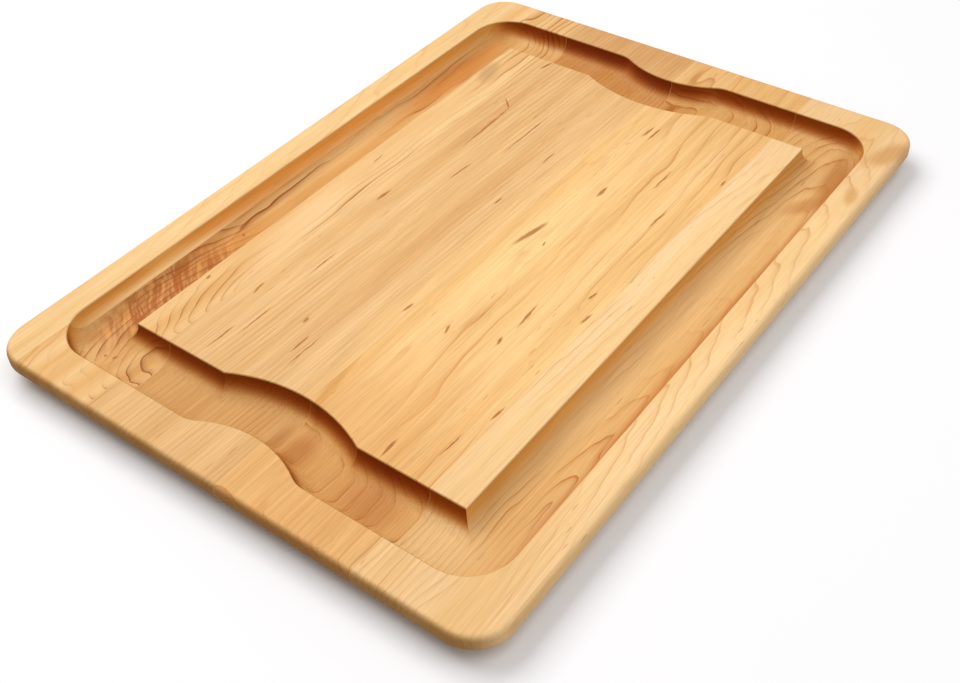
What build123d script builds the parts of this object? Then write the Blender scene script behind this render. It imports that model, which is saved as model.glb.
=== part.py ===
from build123d import *
import os
from math import asin, degrees

# Maple carving board: five edge-glued staves with a deep juice groove routed round the top.
# The groove is cut along a rounded rectangle, and at both ends its path bends in towards the
# middle in one shallow wave. The edge is undercut all round, so that fingers can get below it.
#
# Frame: +Z is up and the origin is the middle of the underside. +X runs along the grain and
# +Y across the staves, towards the left edge stave.

os.makedirs("parts", exist_ok=True)

# ---- Driving dimensions, in millimetres --------------------------------------------------

# Board
BOARD_LENGTH = 508.0            # along the grain
BOARD_WIDTH = 362.0             # across the staves
BOARD_THICKNESS = 22.2
PLAN_CORNER_RADIUS = 24.0       # seen from above
TOP_EDGE_RADIUS = 4.0
FINGER_BEVEL = 12.7             # 45 degree undercut, measured up from the underside
BEVEL_EDGE_RADIUS = 3.0         # where the edge band turns into the undercut
FOOT_EDGE_RADIUS = 1.5          # where the undercut turns into the underside

# Stave widths, from the left: the right edge stave takes up what is left of the board
LEFT_EDGE_STAVE = 24.5
LEFT_STAVE = 61.2
CENTRE_STAVE = 100.5
RIGHT_STAVE = 93.5
GLUE_LINE = 0.15                # thickness of each cured bond between two staves

# Juice groove
END_RIM = 26.0                  # flat rim between the board's end and the groove
SIDE_RIM = 21.0                 # flat rim between the board's side and the groove
GROOVE_WIDTH = 37.6
GROOVE_DEPTH = 14.0
GROOVE_COVE_RADIUS = 12.5       # where the groove's floor turns up into its wall
GROOVE_LIP_CHAMFER = 0.5        # sanded arris where the groove meets the top
GROOVE_CORNER_RADIUS = 29.0     # outer wall, seen from above
WAVE_CHORD = 90.0               # length of the wave along the board's end
WAVE_DEPTH = 12.0               # how far the groove's path bends inwards

CUT_MARGIN = 5.0                # how far cutting shapes reach past what they cut

# ---- Worked out from the driving dimensions ----------------------------------------------

cutter_radius = GROOVE_WIDTH / 2
floor_half_width = cutter_radius - GROOVE_COVE_RADIUS
path_half_length = BOARD_LENGTH / 2 - END_RIM - cutter_radius
path_half_width = BOARD_WIDTH / 2 - SIDE_RIM - cutter_radius
path_corner_radius = GROOVE_CORNER_RADIUS - cutter_radius

wave_half_chord = WAVE_CHORD / 2
wave_radius = (wave_half_chord**2 + WAVE_DEPTH**2) / (2 * WAVE_DEPTH)
wave_half_angle = degrees(asin(wave_half_chord / wave_radius))
wave_centre_x = path_half_length - WAVE_DEPTH + wave_radius

right_edge_stave = (
    BOARD_WIDTH - LEFT_EDGE_STAVE - LEFT_STAVE - CENTRE_STAVE - RIGHT_STAVE - 4 * GLUE_LINE
)


def groove_section(x, y, x_dir, middle, one_side=False):
    """Make the groove's section on an upright plane at (x, y), with its middle at local x.

    The plane's local y is +Z, from the board's top. One_side keeps only the part of the section
    at positive local x, so that it can be revolved about the plane's origin.
    """
    upright = Plane(origin=(x, y, BOARD_THICKNESS), x_dir=x_dir, z_dir=Vector(x_dir).cross(Vector(0, 0, 1)))
    with BuildSketch(upright) as section:
        with BuildLine():
            floor = Line((middle, -GROOVE_DEPTH), (middle + floor_half_width, -GROOVE_DEPTH))
            cove = CenterArc(floor @ 1 + Vector(0, GROOVE_COVE_RADIUS), GROOVE_COVE_RADIUS, -90, 90)
            Polyline(
                cove @ 1,
                (middle + cutter_radius, -GROOVE_LIP_CHAMFER),
                (middle + cutter_radius + GROOVE_LIP_CHAMFER, 0),
                (middle + cutter_radius + GROOVE_LIP_CHAMFER, CUT_MARGIN),
                (middle, CUT_MARGIN),
            )
            mirror(about=Plane.YZ.offset(middle))
        make_face()
        if one_side:
            reach = 2 * (abs(middle) + GROOVE_WIDTH)
            Rectangle(reach, reach, align=(Align.MIN, Align.CENTER), mode=Mode.INTERSECT)
    return section.sketch


# ---- Juice groove: one quarter of its path, then mirrored twice --------------------------

corner_x = path_half_length - path_corner_radius
corner_y = path_half_width - path_corner_radius
along_x = Vector(1, 0, 0)
along_y = Vector(0, 1, 0)

with BuildPart() as juice_groove:
    # straight run beside the long side
    extrude(groove_section(0, 0, along_y, path_half_width), amount=corner_x)

    # quarter turn at the corner
    corner_section = groove_section(corner_x, corner_y, along_x, path_corner_radius, one_side=True)
    revolve(corner_section, axis=Axis((corner_x, corner_y, 0), (0, 0, 1)), revolution_arc=90)

    # straight run beside the short end, from the corner to the wave
    extrude(groove_section(0, corner_y, along_x, path_half_length), amount=corner_y - wave_half_chord)

    # where the path turns into the wave, the cutter leaves its own round shape in the wood
    turn_section = groove_section(path_half_length, wave_half_chord, along_x, 0, one_side=True)
    revolve(turn_section, axis=Axis((path_half_length, wave_half_chord, 0), (0, 0, 1)))

    # half of the wave
    wave_section = groove_section(wave_centre_x, 0, -along_x, wave_radius)
    revolve(wave_section, axis=Axis((wave_centre_x, 0, 0), (0, 0, -1)), revolution_arc=wave_half_angle)

    mirror(about=Plane.YZ)
    mirror(about=Plane.XZ)

# ---- Glued-up board, shaped all over before it is told apart into its pieces -------------

with BuildPart() as board:
    with BuildSketch():
        RectangleRounded(BOARD_LENGTH, BOARD_WIDTH, PLAN_CORNER_RADIUS)
    extrude(amount=BOARD_THICKNESS)
    fillet(board.edges().group_by(Axis.Z)[-1], TOP_EDGE_RADIUS)
    chamfer(board.edges().group_by(Axis.Z)[0], FINGER_BEVEL)
    fillet(board.edges().group_by(Axis.Z)[2], BEVEL_EDGE_RADIUS)
    fillet(board.edges().group_by(Axis.Z)[0], FOOT_EDGE_RADIUS)
    add(juice_groove.part, mode=Mode.SUBTRACT)

# ---- Staves and the glue lines between them, from the left side to the right -------------

pieces = [
    ("left_edge_stave", LEFT_EDGE_STAVE),
    ("left_edge_glue_line", GLUE_LINE),
    ("left_stave", LEFT_STAVE),
    ("left_glue_line", GLUE_LINE),
    ("centre_stave", CENTRE_STAVE),
    ("right_glue_line", GLUE_LINE),
    ("right_stave", RIGHT_STAVE),
    ("right_edge_glue_line", GLUE_LINE),
    ("right_edge_stave", right_edge_stave),
]

left_side = BOARD_WIDTH / 2
for name, width in pieces:
    with BuildPart() as piece:
        add(board.part)
        with Locations((0, left_side - width / 2, BOARD_THICKNESS / 2)):
            Box(
                BOARD_LENGTH + 2 * CUT_MARGIN,
                width,
                BOARD_THICKNESS + 2 * CUT_MARGIN,
                mode=Mode.INTERSECT,
            )
    piece.part.label = name
    export_step(piece.part, f"parts/{name}.step")
    left_side -= width
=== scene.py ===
import math
from functools import partial

import bpy
from bpy.props import FloatProperty, FloatVectorProperty, PointerProperty
from mathutils import Euler, Matrix, Quaternion, Vector


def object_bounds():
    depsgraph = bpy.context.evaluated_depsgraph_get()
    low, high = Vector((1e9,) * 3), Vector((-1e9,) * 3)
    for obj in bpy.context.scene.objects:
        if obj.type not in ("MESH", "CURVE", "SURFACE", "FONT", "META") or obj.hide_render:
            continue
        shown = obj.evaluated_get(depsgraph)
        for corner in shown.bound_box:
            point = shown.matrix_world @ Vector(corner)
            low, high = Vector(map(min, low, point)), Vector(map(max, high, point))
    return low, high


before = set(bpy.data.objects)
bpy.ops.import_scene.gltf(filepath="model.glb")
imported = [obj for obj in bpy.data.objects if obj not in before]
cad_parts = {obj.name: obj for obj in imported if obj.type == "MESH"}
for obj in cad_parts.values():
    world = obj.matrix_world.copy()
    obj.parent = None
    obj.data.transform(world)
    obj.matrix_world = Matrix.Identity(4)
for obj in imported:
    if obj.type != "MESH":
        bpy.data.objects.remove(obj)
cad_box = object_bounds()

bl_info = {
    "name": "Maple Carving Board",
    "version": (1, 0, 0),
    "blender": (4, 5, 0),
    "location": "3D View > Sidebar > Carving Board",
    "description": "Oiled maple for an edge-glued carving board with a juice groove, and its studio",
    "category": "Object",
}

METRES = 0.001                      # one millimetre in metres
TURN_OF_RINGS = math.pi / 10        # the Wave texture's scale that draws one ring in each unit of length
COLOUR_A, COLOUR_B = 6, 7           # the Mix node's colour inputs, whose names its other inputs share

# The board from the frame, in millimetres, and the groove that was routed into it. The groove keeps
# at least this far off the board's ends and sides, so whatever is lower there isn't groove.
HALF_LENGTH, HALF_WIDTH, THICKNESS = cad_box[1] / METRES
GROOVE_DEPTH = 14
OFF_ENDS, OFF_SIDES = 19, 14.5
BORDER_BLUR = 2                     # how far that border fades, each way
LIP = (0.2, 1.5)                    # how far down the groove's own colours start, and are full
DEEPER_FROM = 0.6                   # how far down its wood starts to deepen, all the way to its floor

# What each stave was sawn from. "heart" is where the centre line of the tree passes, as millimetres
# across the board and above its underside, at the middle of its length, and "lean" is how far that
# line moves along one millimetre of length. "ring" is the width of a year's growth, in millimetres.
# "wander" and "ripple" are how far the rings stray, in broad and in short waves, in millimetres.
# The rest are strengths: of the rings' lines, the fine streaks, the bands of deeper colour, the groove's
# deeper colour, partly oil and partly painted shade, and the painted shade toward the two ends.
STAVES = {
    "left_edge_stave": {
        "heart": (120, -110), "lean": (0.12, 0.06), "ring": 4.0, "wander": 3.5, "ripple": 0.4,
        "lines": 0.2, "streaks": 0.7, "bands": 0.8, "groove": 0.6, "ends": 0.4},
    "left_stave": {
        "heart": (146, -6), "lean": (0.0, 0.02), "ring": 4.5, "wander": 6.0, "ripple": 0.5,
        "lines": 0.6, "streaks": 0.6, "bands": 0.9, "groove": 0.7, "ends": 0.15},
    "centre_stave": {
        "heart": (150, 70), "lean": (-0.04, 0.0), "ring": 3.3, "wander": 2.2, "ripple": 0.2,
        "lines": 0.28, "streaks": 0.9, "bands": 0.8, "groove": 1.0, "ends": 0.5},
    "right_stave": {
        "heart": (-8, -90), "lean": (0.0, -0.0255), "ring": 5.0, "wander": 3.5, "ripple": 0.5,
        "lines": 0.4, "streaks": 0.9, "bands": 0.7, "groove": 1.0, "ends": 1.0},
    "right_edge_stave": {
        "heart": (-150, -15), "lean": (0.0, -0.12), "ring": 4.0, "wander": 2.6, "ripple": 1.9,
        "lines": 0.32, "streaks": 0.7, "bands": 0.7, "groove": 1.0, "ends": 0.7},
}

# The three colours of each stave's wood.
WOOD_PARTS = {
    "pale": "The palest wood of the stave", "deep": "The deepest of its plain wood",
    "line": "The dense wood that ends each year"}
STAVE_COLOURS = {
    "left_edge_stave": ("D6B483", "CEA76D", "B57E48"),
    "left_stave": ("D3AD79", "C49458", "945A28"),
    "centre_stave": ("D0A976", "C59962", "A06638"),
    "right_stave": ("DAB37C", "D0A366", "B2763A"),
    "right_edge_stave": ("DAB88A", "D2AB72", "B67C44"),
}

# At its near end one stave bends round a branch, so its heart climbs steeply there. The crook comes
# in between these places along the board.
CROOKED_STAVE = "left_stave"
CROOK = {"heart": (66.5, 62.7), "lean": (-0.15, 0.45), "ring": 4.0}
CROOK_STARTS, CROOK_FULL = -66, -96

# A year's growth, as shares of a ring's width: where the wood starts to deepen, where the thin dark
# line starts, where both are darkest, and from where they fade to the next year's pale wood. The
# shades are how much the summer and the line each add.
SUMMER, AUTUMN, DARKEST, FADES = 0.45, 0.82, 0.95, 0.96
SUMMER_SHADE, LINE_SHADE = 0.35, 0.65

# Patterns that fall by chance. Each is noise drawn out along the grain, whose patches are about this
# long and this wide.
WANDER_SIZE = Vector((75, 18)) * METRES     # the broad waves of the rings
RIPPLE_SIZE = Vector((30, 8)) * METRES      # and their short waves
FADING_SIZE = Vector((130, 24)) * METRES    # where the rings' lines come and go
CROWD_SIZE = Vector((60, 18)) * METRES      # where the small flecks crowd together
RAGGED_SIZE = Vector((6, 1.2)) * METRES     # the ragged outline of the larger flecks, and how far
RAGGED_BY = 0.8 * METRES                    # it strays
FILM_SIZE = Vector((22, 5)) * METRES        # where the glue is thick and where it is thin
FINER_LAYERS = 0.55                         # how strong each finer layer of noise is beside the last
SEED_STEP = 11.3                            # sets one stave's patterns apart from the next one's

# The noise values between which a pattern goes from nothing to all. Noise keeps near a half, so a
# pattern that is seldom seen starts well above that.
LINES_SHOW = (0.36, 0.66)
BANDS_SHOW = (0.28, 0.72)
STREAKS_SHOW = (0.3, 0.7)
FLECKS_SHOW = (0.74, 0.82)
CROWDS_SHOW = (0.45, 0.7)
GLUE_SHOWS = (0.35, 0.65)

# How strong the patterns are. The boldest line is this many times its stave's own strength. A pore
# fades out at the first share of a pore's width from its middle, and is full at the second.
FAINTEST_LINE, BOLDEST_LINE = 0.04, 1.7
STREAK_DARKENS, STREAK_LIGHTENS = 0.17, 0.09
SMALL_FLECK, LARGE_FLECK = 0.4, 0.8
PORE_RIM, PORE_FULL, PORE = 0.35, 0.15, 0.22

# What the oil does, and where shade is painted. Wood is end grain once its face looks this squarely
# along the grain, from 0 to 1: outside, in the groove, and in the groove for its deepest brown.
END_GRAIN_FROM, ROUTED_END_FROM, DEEPEST_BROWN_FROM = 0.25, 0.5, 0.45
# The groove's steep walls get painted shade, darker and more orange, between these two slopes.
WALL_STARTS, WALL_FULL = 0.95, 0.2  # how squarely up a groove's wall looks where it starts, and is full
SHADED_ENDS_FROM = 90                    # from how far off the board's middle the painted shade toward its ends starts

# How far the fibres stand proud, in millimetres, and what the dense late wood adds to that and takes
# off the roughness. Oil that has soaked in, cured glue and plain paper all have little gloss.
RELIEF, RELIEF_STRENGTH, LATE_WOOD_RELIEF = 0.15, 0.25, 0.5
LATE_WOOD_POLISH = 0.15
OIL_GLOSS, GLUE_GLOSS, PAPER_GLOSS = 0.1, 0.2, 0.1
GLUE_ROUGHNESS, PAPER_ROUGHNESS = 0.4, 0.9

# A patch is a soft oval: (along, across, length, width, turn in degrees), in millimetres. It fades out
# at this share of its length and width from its middle. A crisp one is full from 0.6 of the way in
# from there to its middle, and a soft one from 0.7.
PATCH_FADES = 0.6
CRISP, SOFT = 0.6, 0.7

# Where the grain of the crooked stave tore in the groove, the size and the turn of the strokes that it
# tore into, and how they waver. Each colour has the noise values between which it comes in, and its
# least and its greatest strength.
TORN_PLACE = (-152, 142, 128, 46, 0)
STROKE_SIZE, STROKE_TURN = Vector((26, 3.2)) * METRES, 52
WAVER_SIZE, WAVER_BY = Vector((18, 18)) * METRES, 3 * METRES
TORN_COLOURS = (("9A5214", 0.58, 0.38, 0.45, 0.9), ("DA9E50", 0.56, 0.72, 0.0, 0.6))

# Brown mineral flecks, each a patch.
FLECKS = {
    "centre_stave": (
        (-126, 85, 12, 2.0, 10), (-10, 82, 15, 2.6, -3), (184, 84, 14, 2.6, -12), (-131, 41, 6, 2.0, 5),
        (27, 15, 10, 1.6, 0), (-88, -2, 10, 2.0, -4), (95, 73, 66, 1.5, 1), (125, 78, 17, 1.6, 45),
        (-148, 66, 30, 1.3, 0), (-170, 73, 26, 1.4, 0), (100, 44, 62, 1.1, 0), (40, 56, 24, 1.5, -3),
        (-152, 24, 36, 1.2, 0), (-148, 30, 18, 1.3, 0), (-85, 68, 26, 1.1, 0), (85, 15, 16, 1.4, 0)),
    "right_stave": (
        (11, -22, 34, 4.2, -11), (73, -36, 14, 3.0, 0), (7, -35, 5, 1.5, 15), (-90, -33, 9, 1.8, 15),
        (150, -25, 16, 2.0, -4), (150, -30, 18, 2.0, -2), (-181, -64, 16, 2.2, 2), (-81, -64, 8, 2.2, 12),
        (-54, -65, 26, 1.8, 4), (-37, -95, 12, 2.2, -6), (106, -62, 26, 1.6, 0), (-18, -87, 9, 1.8, -8),
        (68, -81, 22, 1.8, -2), (-160, -90, 20, 1.2, -3), (-128, -97, 14, 1.6, -3), (125, -97, 8, 1.8, 0)),
    "left_stave": (
        (-212, 131, 3, 3.0, 0), (-210, 125, 5, 2.6, 0), (-82, 144, 5, 3.0, 40), (-136, 118, 5, 2.0, 10),
        (20, 112, 12, 1.4, 4), (-30, 128, 9, 1.6, -6)),
}
FLECK_REACH = 30                    # how far down a fleck goes

# Broad clouds of colour in the wood: each a patch, its colour and its strength.
CLOUDS = {
    "left_stave": (
        ((-70, 104, 130, 22, 4), "DDBA8C", 0.5), ((153, 114, 34, 15, 12), "A07C52", 0.55)),
    "centre_stave": (
        ((-60, 30, 340, 22, -1), "BE8D58", 0.45), ((100, 76, 190, 10, 0), "B78352", 0.4),
        ((262, 45, 150, 150, 0), "B27C48", 0.45), ((0, -4, 420, 26, 0), "D8B078", 0.55)),
    "right_stave": (
        ((0, -28, 180, 34, 0), "DEBC82", 0.6), ((0, -6, 420, 12, 0), "CFA266", 0.5),
        ((-165, -9, 60, 7, 8), "B9803F", 0.6), ((-200, -50, 210, 120, 0), "CC9456", 0.4)),
    "right_edge_stave": (
        ((215, -172, 50, 18, -20), "B58040", 0.6), ((158, -172, 24, 10, 15), "B58040", 0.55)),
}
CLOUD_REACH = 24                    # how far down a cloud goes

# Patches of colour that only the groove shows, each a patch, its colour and its strength. The two cream
# bands along the left edge stave's cove are a painted highlight on that shaded wall; the others darken
# or lighten parts of the groove.
GROOVE_PATCHES_AND_HIGHLIGHT = {
    "left_edge_stave": (
        # painted highlight: two cream bands along this stave's shaded cove
        ((-15, 159, 480, 13, 0), "EBB478", 0.7), ((-140, 156.5, 150, 8, 0), "F8DDB0", 0.9)),
    "left_stave": (
        ((-95, 146, 90, 28, -10), "C07E3A", 0.4), ((150, 146, 150, 26, 0), "B8702A", 0.7)),
    "centre_stave": (
        ((214, 60, 90, 300, 0), "B8742F", 0.45), ((-206, -2, 40, 14, 0), "A8682E", 0.5)),
    "right_stave": (
        ((-208, -72, 40, 44, 0), "B4723A", 0.5), ((-206, -16, 40, 26, 0), "AC6A30", 0.6)),
    "right_edge_stave": (
        ((185, -150, 90, 22, 10), "A86C2A", 0.7), ((150, -146, 40, 16, -30), "AC7230", 0.5),
        ((-212, -120, 70, 60, 0), "E6CC9E", 0.5), ((0, -160, 560, 22, 0), "B86E28", 0.85)),
}
GROOVE_CLOUD_REACH = 60             # how far down they go, which is past the groove's floor

# The lamps' places and sizes in metres, and the camera's place and aim in millimetres and its tip to
# one side in degrees.
SOFTBOX_PLACE, SOFTBOX_SIZE = Vector((0.05, 1.2, 1.9)), (2.0, 1.4)
FILL_PLACE, FILL_SIZE = Vector((-0.1, -1.0, 2.0)), (2.2, 1.6)
CAMERA_PLACE = Vector((-492.2, -375.75, 508.44))
CAMERA_AIM = Vector((-87.7, -55.0, THICKNESS))
CAMERA_TIP = -2.73
TABLE_GAP = 0.1                     # keeps the table's face off the board's underside, in millimetres


def linear(hex_colour, alpha=1.0):
    """Turn an sRGB hex colour into the linear values that shaders use."""
    values = [int(hex_colour[i:i + 2], 16) / 255 for i in (0, 2, 4)]
    return [v / 12.92 if v <= 0.04045 else ((v + 0.055) / 1.055) ** 2.4 for v in values] + [alpha]


def add_node(tree, kind, inputs=None, **settings):
    """Add a node with its settings. An input is a value, an output, or a node that stands for its first."""
    node = tree.nodes.new(kind)
    for name, value in settings.items():
        setattr(node, name, value)
    for key, value in (inputs or {}).items():
        if isinstance(value, bpy.types.Node):
            value = next(output for output in value.outputs if output.enabled)
        if isinstance(value, bpy.types.NodeSocket):
            tree.links.new(value, node.inputs[key])
        else:
            node.inputs[key].default_value = value
    return node


def colour_property(name, description, hex_colour):
    return FloatVectorProperty(
        name=name, description=description, default=linear(hex_colour), size=4, min=0, max=1,
        subtype="COLOR")


def length_property(name, description, millimetres):
    return FloatProperty(
        name=name, description=description, default=millimetres * METRES, min=0, subtype="DISTANCE",
        unit="LENGTH", precision=4)


def strength_property(name, description, strength):
    return FloatProperty(
        name=name, description=description, default=strength, min=0, max=1, subtype="FACTOR")


class BOARD_PG_colours(bpy.types.PropertyGroup):
    """The colours of each stave"""

    __annotations__ = {
        f"{stave}_{part}": colour_property(
            f"{stave} {part}".replace("_", " ").capitalize(), description, hue)
        for stave, hues in STAVE_COLOURS.items()
        for (part, description), hue in zip(WOOD_PARTS.items(), hues)}


class BOARD_PG_finish(bpy.types.PropertyGroup):
    """The oil, the glue and the fine grain that all the staves share"""

    fibre_width: length_property("Fibre width", "Width of a fine streak along the grain", 0.9)
    fibre_length: length_property("Fibre length", "Length of a fine streak along the grain", 34)
    band_width: length_property("Band width", "Width of a band of darker or paler wood", 13)
    band_length: length_property("Band length", "Length of a band of darker or paler wood", 240)
    pore_width: length_property("Pore width", "Width of a dark dot on the end grain", 0.8)
    fleck_width: length_property("Fleck width", "Width of a small mineral fleck", 1.3)
    fleck_length: length_property("Fleck length", "Length of a small mineral fleck", 11)
    fleck_colour: colour_property("Flecks", "Brown of the mineral flecks and pin knots", "935420")
    glue_colour: colour_property("Glue", "Cured wood glue soaked with oil", "B0793F")
    glue_thin_colour: colour_property("Thin glue", "The same glue where the wood shows through it", "C89A60")
    end_grain_colour: colour_property("End grain", "What is left of the wood's colour on end grain", "B7A784")
    # painted shade: the face is darkened toward both ends of the board
    ends_shade_colour: colour_property("Soaked ends", "What is left near the ends, where oil crept in", "EFE7DE")
    # partly oil, partly painted shade: the groove's colour deepens further down
    groove_oil_and_shade_colour: colour_property("Groove", "What is left of the wood's colour down in the groove", "F0E4D1")
    # painted shade: the groove's steep walls darker and more orange
    wall_shade_colour: colour_property("Groove walls", "What is left again on the steep walls", "FDE2A4")
    routed_end_colour: colour_property("Routed end grain", "What is left again where the two meet", "E79E1D")
    roughness: strength_property("Roughness", "Roughness of the oiled wood", 0.55)
    end_roughness: strength_property("End roughness", "Roughness of the thirstier end grain", 0.68)


class BOARD_PG_stage(bpy.types.PropertyGroup):
    """The table, the lamps and the camera"""

    table_size: length_property("Table size", "Side of the white table", 40000)
    table_colour: colour_property("Table", "Colour of the white table", "D6D5D6")
    lamp_power: FloatProperty(
        name="Lamp power", description="Power of the soft lamp over the board",
        default=45.5, min=0, unit="POWER")
    fill_power: FloatProperty(
        name="Fill power", description="Power of the weaker lamp opposite",
        default=26, min=0, unit="POWER")
    room_light: FloatProperty(
        name="Room light", description="Strength of the light from the white room",
        default=0.52, min=0)
    focal_length: FloatProperty(
        name="Focal length", description="Focal length of the lens",
        default=46.145, min=1, unit="CAMERA")


def stretched_noise(node, point, size, detail, seed):
    """Noise drawn out along the grain, whose patches have about the given length and width."""
    length, width = size
    space = node("ShaderNodeMapping", {
        "Vector": point, "Location": (seed, seed, seed), "Scale": (1 / length, 1 / width, 1 / width)})
    return node("ShaderNodeTexNoise", {
        "Vector": space, "Scale": 1.0, "Detail": detail, "Roughness": FINER_LAYERS})


def drifting(node, point, size, amount, seed):
    """The point moved up to about the given amount each way, smoothly from place to place."""
    noise = stretched_noise(node, point, size, detail=1.5, seed=seed)
    centred = node("ShaderNodeVectorMath", {
        0: noise.outputs["Color"], 1: (0.5, 0.5, 0.5)}, operation="SUBTRACT")
    return node("ShaderNodeVectorMath", {
        0: centred, 1: (2 * amount,) * 3, 2: point}, operation="MULTIPLY_ADD")


def patch(node, point, place, reach, full, strength):
    """A soft oval patch that goes from the board's face down to its reach, in millimetres."""
    along, across, length, width, turn = place
    space = node("ShaderNodeMapping", {
        "Vector": point, "Location": Vector((along, across, THICKNESS)) * METRES,
        "Rotation": (0, 0, math.radians(turn)),
        "Scale": Vector((PATCH_FADES * length, PATCH_FADES * width, reach)) * METRES},
        vector_type="TEXTURE")
    ball = node("ShaderNodeTexGradient", {"Vector": space}, gradient_type="SPHERICAL")
    return node("ShaderNodeMapRange", {"Value": ball.outputs["Fac"], "From Max": full, "To Max": strength},
                interpolation_type="SMOOTHSTEP")


def late_wood(node, point, figure):
    """The dark late wood that ends each year's ring, round a heart that may lean through the board."""
    ring = figure["ring"] * METRES
    lean_across, lean_up = figure["lean"]
    turn = Euler((0, math.atan(lean_up), -math.atan2(lean_across, math.hypot(1, lean_up))))
    across, up = figure["heart"]
    heart = turn.to_matrix() @ Vector((0, across * METRES, up * METRES))
    about_heart = node("ShaderNodeMapping", {
        "Vector": point, "Location": -heart / ring, "Rotation": turn, "Scale": (1 / ring,) * 3})
    year = node("ShaderNodeTexWave", {"Vector": about_heart, "Scale": TURN_OF_RINGS, "Distortion": 0.0},
                wave_type="RINGS", rings_direction="X", wave_profile="SAW").outputs["Fac"]
    # the wood deepens through the summer, ends the year with a thin dark line, and starts again pale
    summer, autumn = (
        node("ShaderNodeMapRange", {
            "Value": year, "From Min": starts, "From Max": DARKEST, "To Max": shade},
            interpolation_type="SMOOTHSTEP")
        for starts, shade in ((SUMMER, SUMMER_SHADE), (AUTUMN, LINE_SHADE)))
    not_yet_spring = node("ShaderNodeMapRange", {"Value": year, "From Min": 1.0, "From Max": FADES})
    dark = node("ShaderNodeMath", {0: summer, 1: autumn}, operation="ADD")
    return node("ShaderNodeMath", {0: dark, 1: not_yet_spring}, operation="MULTIPLY")


def torn_grain(node, point, depth, colour):
    """Grain that dives and tears where the cutter ran against it, as strokes across the groove."""
    inside = patch(node, point, TORN_PLACE, GROOVE_CLOUD_REACH, CRISP, 1.0)
    inside = node("ShaderNodeMath", {0: inside, 1: depth}, operation="MULTIPLY")
    wavy = drifting(node, point, WAVER_SIZE, WAVER_BY, seed=8.8)
    turned = node("ShaderNodeMapping", {"Vector": wavy, "Rotation": (0, 0, -math.radians(STROKE_TURN))})
    strokes = stretched_noise(node, turned, STROKE_SIZE, detail=1.5, seed=2.6)
    for hue, none, full, least, most in TORN_COLOURS:
        amount = node("ShaderNodeMapRange", {
            "Value": strokes, "From Min": none, "From Max": full, "To Min": least, "To Max": most},
            interpolation_type="SMOOTHSTEP")
        amount = node("ShaderNodeMath", {0: amount, 1: inside}, operation="MULTIPLY")
        colour = node("ShaderNodeMix", {"Factor": amount, COLOUR_A: colour, COLOUR_B: linear(hue)},
                      data_type="RGBA")
    return colour


def mineral_flecks(node, point, finish, name, seed):
    """Small flecks scattered by chance, in patches, and the larger ones each in its own place."""
    size = finish.fleck_length, finish.fleck_width
    chance = stretched_noise(node, point, size, detail=0.0, seed=seed + 1.7)
    crowd = stretched_noise(node, point, CROWD_SIZE, detail=0.0, seed=seed + 5.3)
    chance, crowd = (
        node("ShaderNodeMapRange", {
            "Value": noise, "From Min": starts, "From Max": full, "To Max": strength},
            interpolation_type="SMOOTHSTEP")
        for noise, (starts, full), strength in (
            (chance, FLECKS_SHOW, 1.0), (crowd, CROWDS_SHOW, SMALL_FLECK)))
    flecks = node("ShaderNodeMath", {0: chance, 1: crowd}, operation="MULTIPLY")
    ragged = drifting(node, point, RAGGED_SIZE, RAGGED_BY, seed)
    for place in FLECKS.get(name, ()):
        fleck = patch(node, ragged, place, FLECK_REACH, CRISP, LARGE_FLECK)
        flecks = node("ShaderNodeMath", {0: flecks, 1: fleck}, operation="MAXIMUM")
    return flecks


def groove_mask(node, place):
    """How deep in the groove a point lies, and whether it lies in the groove at all."""
    mask = 1.0
    for axis, edge in (("X", HALF_LENGTH - OFF_ENDS), ("Y", HALF_WIDTH - OFF_SIDES)):
        distance = node("ShaderNodeMath", {0: place.outputs[axis]}, operation="ABSOLUTE")
        within = node("ShaderNodeMapRange", {
            "Value": distance,
            "From Min": (edge + BORDER_BLUR) * METRES, "From Max": (edge - BORDER_BLUR) * METRES})
        mask = node("ShaderNodeMath", {0: mask, 1: within}, operation="MULTIPLY")
    floor = THICKNESS - GROOVE_DEPTH
    above_underside = node("ShaderNodeMapRange", {
        "Value": place.outputs["Z"],
        "From Min": (floor - BORDER_BLUR) * METRES, "From Max": (floor - BORDER_BLUR / 2) * METRES})
    mask = node("ShaderNodeMath", {0: mask, 1: above_underside}, operation="MULTIPLY")
    for starts, full in ((DEEPER_FROM, GROOVE_DEPTH), LIP):
        down = node("ShaderNodeMapRange", {
            "Value": place.outputs["Z"],
            "From Min": (THICKNESS - starts) * METRES, "From Max": (THICKNESS - full) * METRES},
            interpolation_type="SMOOTHSTEP")
        yield node("ShaderNodeMath", {0: down, 1: mask}, operation="MULTIPLY")


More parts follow.
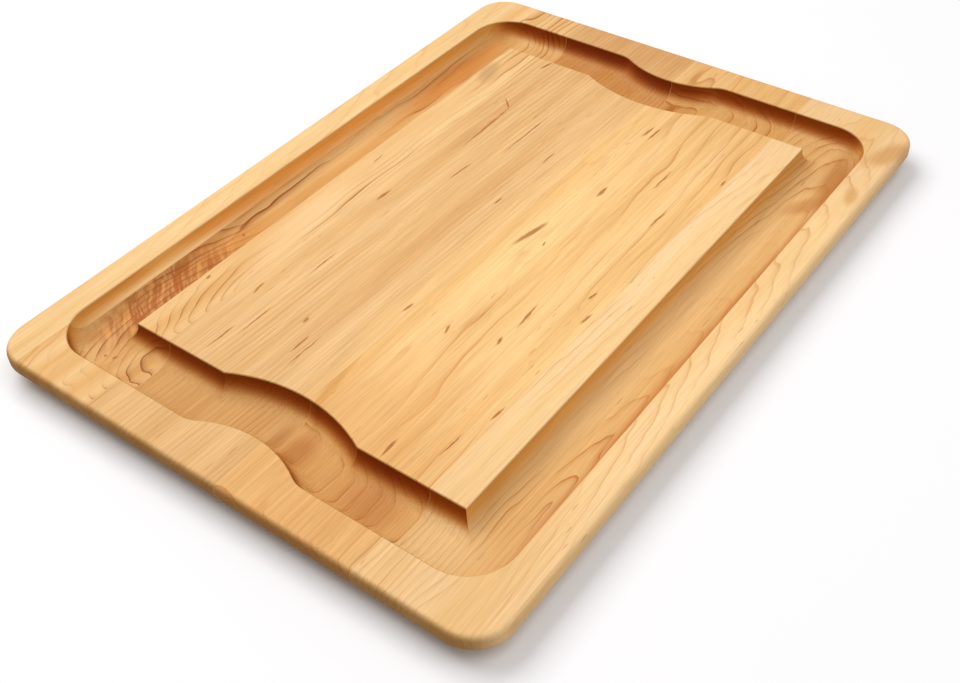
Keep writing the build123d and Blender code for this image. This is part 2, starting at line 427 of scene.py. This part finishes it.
def oil_and_painted_shade(node, facing, place, depth, in_groove, colour, finish, stave):
    """End grain darkened by oil, the groove deepened partly by oil and partly with painted shade, painted
    shade on the groove's steep walls and toward the board's ends, and how much of each point is end grain.
    """
    endways = node("ShaderNodeMath", {0: facing.outputs["X"]}, operation="ABSOLUTE")
    along = node("ShaderNodeMath", {0: place.outputs["X"]}, operation="ABSOLUTE")
    depth = node("ShaderNodeMath", {0: depth, 1: stave["groove"]}, operation="MULTIPLY")

    # the sanded round edges outside drink more than the smooth cut of the groove
    starts = node("ShaderNodeMapRange", {
        "Value": in_groove, "To Min": END_GRAIN_FROM, "To Max": ROUTED_END_FROM})
    end_grain = node("ShaderNodeMapRange", {"Value": endways, "From Min": starts, "From Max": 1.0},
                     interpolation_type="SMOOTHSTEP")
    # painted shade toward both ends of the board
    near_end = node("ShaderNodeMapRange", {
        "Value": along, "From Min": SHADED_ENDS_FROM * METRES, "From Max": HALF_LENGTH * METRES,
        "To Max": stave["ends"]}, interpolation_type="SMOOTHSTEP")
    # painted shade on the groove's steep walls
    steep = node("ShaderNodeMapRange", {
        "Value": facing.outputs["Z"], "From Min": WALL_STARTS, "From Max": WALL_FULL},
        interpolation_type="SMOOTHSTEP")
    steep = node("ShaderNodeMath", {0: steep, 1: in_groove}, operation="MULTIPLY")
    routed = node("ShaderNodeMapRange", {
        "Value": endways, "From Min": DEEPEST_BROWN_FROM, "From Max": 1.0},
        interpolation_type="SMOOTHSTEP")
    routed = node("ShaderNodeMath", {0: routed, 1: in_groove}, operation="MULTIPLY")
    for amount, tint in (
            (end_grain, finish.end_grain_colour), (near_end, finish.ends_shade_colour),
            (depth, finish.groove_oil_and_shade_colour), (steep, finish.wall_shade_colour),
            (routed, finish.routed_end_colour)):
        colour = node("ShaderNodeMix", {"Factor": amount, COLOUR_A: colour, COLOUR_B: tint},
                      data_type="RGBA", blend_type="MULTIPLY")
    return colour, end_grain


def oiled_maple(name, stave, hues, finish, seed):
    """The material of one stave."""
    # Hard maple, sawn flat, planed, sanded fine and wiped with mineral oil. Its pores are too fine to
    # see, so the eye gets a smooth satin face with long low streaks, thin brown lines where each year
    # ends, and a few dark mineral flecks. The oil turns end grain a deep brown. The groove is painted
    # deeper, partly for oil and partly as shade, with painted shade on its steep walls and toward the
    # board's ends, and a painted highlight on one cove.
    # Real fibres are under a tenth of a millimetre wide; the streaks are drawn wider so that they show.
    material = bpy.data.materials.new("oiled_maple_" + name)
    material.use_nodes = True
    material.node_tree.nodes.clear()
    node = partial(add_node, material.node_tree)
    geometry = node("ShaderNodeTexCoord")
    point = geometry.outputs["Object"]
    facing = node("ShaderNodeSeparateXYZ", {"Vector": geometry.outputs["Normal"]})
    place = node("ShaderNodeSeparateXYZ", {"Vector": point})
    depth, in_groove = groove_mask(node, place)

    # the growth rings wander a little from true cylinders about the heart of the tree
    drift = drifting(node, point, WANDER_SIZE, stave["wander"] * METRES, seed)
    drift = drifting(node, drift, RIPPLE_SIZE, stave["ripple"] * METRES, seed + 4.2)
    late = late_wood(node, drift, stave)
    if name == CROOKED_STAVE:
        crooked = node("ShaderNodeMapRange", {
            "Value": place.outputs["X"],
            "From Min": CROOK_STARTS * METRES, "From Max": CROOK_FULL * METRES},
            interpolation_type="SMOOTHSTEP")
        late = node("ShaderNodeMix", {"Factor": crooked, "A": late, "B": late_wood(node, drift, CROOK)})

    # years differ, so the lines come and go, and the oil in the groove brings them out
    fading = stretched_noise(node, point, FADING_SIZE, detail=1.0, seed=seed + 3.1)
    fading = node("ShaderNodeMapRange", {
        "Value": fading, "From Min": LINES_SHOW[0], "From Max": LINES_SHOW[1],
        "To Min": FAINTEST_LINE, "To Max": BOLDEST_LINE * stave["lines"]},
        interpolation_type="SMOOTHSTEP")
    late = node("ShaderNodeMath", {0: late, 1: fading}, operation="MULTIPLY")
    late = node("ShaderNodeMath", {0: late, 1: depth, 2: late}, operation="MULTIPLY_ADD")

    band_size = finish.band_length, finish.band_width
    bands = stretched_noise(node, point, band_size, detail=1.5, seed=seed + 7.7)
    bands = node("ShaderNodeMapRange", {
        "Value": bands, "From Min": BANDS_SHOW[0], "From Max": BANDS_SHOW[1],
        "To Min": 0.5 - stave["bands"] / 2, "To Max": 0.5 + stave["bands"] / 2},
        interpolation_type="SMOOTHSTEP")
    pale, deep, line = hues
    colour = node("ShaderNodeMix", {"Factor": bands, COLOUR_A: pale, COLOUR_B: deep}, data_type="RGBA")
    colour = node("ShaderNodeMix", {"Factor": late, COLOUR_A: colour, COLOUR_B: line}, data_type="RGBA")
    # broad clouds of tone in the wood, and the groove's patches, which include a painted highlight
    for clouds, reach, where in (
            (CLOUDS, CLOUD_REACH, 1.0), (GROOVE_PATCHES_AND_HIGHLIGHT, GROOVE_CLOUD_REACH, in_groove)):
        for cloud, hue, strength in clouds.get(name, ()):
            amount = patch(node, drift, cloud, reach, SOFT, strength)
            amount = node("ShaderNodeMath", {0: amount, 1: where}, operation="MULTIPLY")
            colour = node("ShaderNodeMix", {"Factor": amount, COLOUR_A: colour, COLOUR_B: linear(hue)},
                          data_type="RGBA")
    if name == CROOKED_STAVE:
        colour = torn_grain(node, point, depth, colour)

    fibre_size = finish.fibre_length, finish.fibre_width
    fibres = stretched_noise(node, point, fibre_size, detail=3.0, seed=seed)
    streaks = node("ShaderNodeMapRange", {
        "Value": fibres, "From Min": STREAKS_SHOW[0], "From Max": STREAKS_SHOW[1],
        "To Min": 1 - STREAK_DARKENS * stave["streaks"],
        "To Max": 1 + STREAK_LIGHTENS * stave["streaks"]})
    colour = node("ShaderNodeMix", {"Factor": 1.0, COLOUR_A: colour, COLOUR_B: streaks},
                  data_type="RGBA", blend_type="MULTIPLY")
    flecks = mineral_flecks(node, point, finish, name, seed)
    colour = node("ShaderNodeMix", {"Factor": flecks, COLOUR_A: colour, COLOUR_B: finish.fleck_colour},
                  data_type="RGBA")
    colour, end_grain = oil_and_painted_shade(node, facing, place, depth, in_groove, colour, finish, stave)

    # on end grain the cut pores show as dark dots; real ones are finer and closer together
    pores = node("ShaderNodeTexVoronoi", {"Vector": point, "Scale": 1 / finish.pore_width})
    pores = node("ShaderNodeMapRange", {
        "Value": pores, "From Min": PORE_RIM, "From Max": PORE_FULL, "To Max": PORE},
        interpolation_type="SMOOTHSTEP")
    pores = node("ShaderNodeMath", {0: pores, 1: end_grain}, operation="MULTIPLY")
    colour = node("ShaderNodeMix", {"Factor": pores, COLOUR_A: colour, COLOUR_B: finish.fleck_colour},
                  data_type="RGBA")

    # sanding leaves the dense late wood a hair proud and shinier than the softer wood between
    roughness = node("ShaderNodeMapRange", {
        "Value": end_grain, "To Min": finish.roughness, "To Max": finish.end_roughness})
    roughness = node("ShaderNodeMath", {
        0: late, 1: -LATE_WOOD_POLISH, 2: roughness}, operation="MULTIPLY_ADD")
    height = node("ShaderNodeMath", {0: late, 1: LATE_WOOD_RELIEF, 2: fibres}, operation="MULTIPLY_ADD")
    bump = node("ShaderNodeBump", {
        "Height": height, "Strength": RELIEF_STRENGTH, "Distance": RELIEF * METRES})
    shader = node("ShaderNodeBsdfPrincipled", {
        "Base Color": colour, "Roughness": roughness, "Specular IOR Level": OIL_GLOSS, "Normal": bump})
    node("ShaderNodeOutputMaterial", {"Surface": shader})
    return material


def cured_glue(finish):
    """The material of the glue lines."""
    # Wood glue cured in a film a tenth of a millimetre thick and sanded flush with the wood. It gives
    # the eye a thin tan line, darker where the film is thick and nearly the wood's own colour where it
    # is thin.
    material = bpy.data.materials.new("cured_wood_glue")
    material.use_nodes = True
    material.node_tree.nodes.clear()
    node = partial(add_node, material.node_tree)
    point = node("ShaderNodeTexCoord").outputs["Object"]
    film = stretched_noise(node, point, FILM_SIZE, detail=3.0, seed=0.7)
    film = node("ShaderNodeMapRange", {
        "Value": film, "From Min": GLUE_SHOWS[0], "From Max": GLUE_SHOWS[1]})
    colour = node("ShaderNodeMix", {
        "Factor": film, COLOUR_A: finish.glue_thin_colour, COLOUR_B: finish.glue_colour}, data_type="RGBA")
    roughness = node("ShaderNodeMapRange", {
        "Value": film, "To Min": finish.roughness, "To Max": GLUE_ROUGHNESS})
    shader = node("ShaderNodeBsdfPrincipled", {
        "Base Color": colour, "Roughness": roughness, "Specular IOR Level": GLUE_GLOSS})
    node("ShaderNodeOutputMaterial", {"Surface": shader})
    return material


def matte_paper(colour):
    """The material of the table."""
    # Uncoated white paper, rolled out flat. It gives the eye an even pale ground with no gloss.
    material = bpy.data.materials.new("matte_white_paper")
    material.use_nodes = True
    material.node_tree.nodes.clear()
    node = partial(add_node, material.node_tree)
    shader = node("ShaderNodeBsdfPrincipled", {
        "Base Color": colour, "Roughness": PAPER_ROUGHNESS, "Specular IOR Level": PAPER_GLOSS})
    node("ShaderNodeOutputMaterial", {"Surface": shader})
    return material


class BOARD_OT_staves(bpy.types.Operator):
    """Give each stave the grain of the board of maple that it was sawn from"""

    bl_idname = "board.staves"
    bl_label = "Staves"

    def execute(self, context):
        finish = context.scene.board_finish
        for number, (name, stave) in enumerate(STAVES.items()):
            hues = [getattr(context.scene.board_colours, f"{name}_{part}") for part in WOOD_PARTS]
            material = oiled_maple(name, stave, hues, finish, SEED_STEP * number)
            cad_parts[name].material_slots[0].material = material
        return {"FINISHED"}


class BOARD_OT_glue_lines(bpy.types.Operator):
    """Give the bonds between the staves the tan of cured glue"""

    bl_idname = "board.glue_lines"
    bl_label = "Glue lines"

    def execute(self, context):
        material = cured_glue(context.scene.board_finish)
        for name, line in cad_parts.items():
            if name not in STAVES:
                line.material_slots[0].material = material
        return {"FINISHED"}


def add_lamp(context, name, place, size, power):
    """A soft rectangular lamp that is aimed at the middle of the board."""
    light = bpy.data.lights.new(name, "AREA")
    light.shape = "RECTANGLE"
    light.size, light.size_y = size
    light.energy = power
    lamp = bpy.data.objects.new(name, light)
    lamp.matrix_world = Matrix.Translation(place) @ (-place).to_track_quat("-Z", "Y").to_matrix().to_4x4()
    context.scene.collection.objects.link(lamp)


def add_camera(context, focal_length):
    """The camera, on a tripod at the board's near left corner, tipped a little to one side."""
    camera = bpy.data.cameras.new("camera")
    camera.lens = focal_length
    placed = bpy.data.objects.new("camera", camera)
    context.scene.collection.objects.link(placed)
    looking = (CAMERA_AIM - CAMERA_PLACE).to_track_quat("-Z", "Y")
    looking = looking @ Quaternion((0, 0, 1), math.radians(CAMERA_TIP))
    placed.matrix_world = Matrix.Translation(CAMERA_PLACE * METRES) @ looking.to_matrix().to_4x4()
    context.scene.camera = placed


class BOARD_OT_stage(bpy.types.Operator):
    """Put the board on a plain white table under soft studio light, with a camera"""

    bl_idname = "board.stage"
    bl_label = "Stage"

    def execute(self, context):
        stage = context.scene.board_stage
        bpy.ops.object.select_all(action="DESELECT")
        bpy.ops.mesh.primitive_plane_add(size=stage.table_size, location=(0, 0, -TABLE_GAP * METRES))
        table = context.object
        table.name = "table"
        table.data.materials.append(matte_paper(stage.table_colour))

        world = bpy.data.worlds.new("studio")
        world.use_nodes = True
        world.node_tree.nodes["Background"].inputs["Color"].default_value = linear("FFFFFF")
        world.node_tree.nodes["Background"].inputs["Strength"].default_value = stage.room_light
        context.scene.world = world
        context.scene.view_settings.view_transform = "Standard"

        add_lamp(context, "softbox", SOFTBOX_PLACE, SOFTBOX_SIZE, stage.lamp_power)
        add_lamp(context, "fill", FILL_PLACE, FILL_SIZE, stage.fill_power)
        add_camera(context, stage.focal_length)
        return {"FINISHED"}


class BOARD_PT_panel(bpy.types.Panel):
    """The steps that finish and stage the carving board"""

    bl_idname = "BOARD_PT_panel"
    bl_label = "Carving Board"
    bl_space_type = "VIEW_3D"
    bl_region_type = "UI"
    bl_category = "Carving Board"

    def draw(self, context):
        scene = context.scene
        for settings in (scene.board_colours, scene.board_finish, scene.board_stage):
            for name in settings.__annotations__:
                self.layout.prop(settings, name)
        for operator in OPERATORS:
            self.layout.operator(operator.bl_idname)


OPERATORS = (BOARD_OT_staves, BOARD_OT_glue_lines, BOARD_OT_stage)
CLASSES = (BOARD_PG_colours, BOARD_PG_finish, BOARD_PG_stage) + OPERATORS + (BOARD_PT_panel,)


def register():
    for each in CLASSES:
        bpy.utils.register_class(each)
    bpy.types.Scene.board_colours = PointerProperty(type=BOARD_PG_colours)
    bpy.types.Scene.board_finish = PointerProperty(type=BOARD_PG_finish)
    bpy.types.Scene.board_stage = PointerProperty(type=BOARD_PG_stage)


def unregister():
    del bpy.types.Scene.board_stage
    del bpy.types.Scene.board_finish
    del bpy.types.Scene.board_colours
    for each in reversed(CLASSES):
        bpy.utils.unregister_class(each)


def main():
    register()
    bpy.ops.board.staves()
    bpy.ops.board.glue_lines()
    bpy.ops.board.stage()


if __name__ == "__main__":
    main()
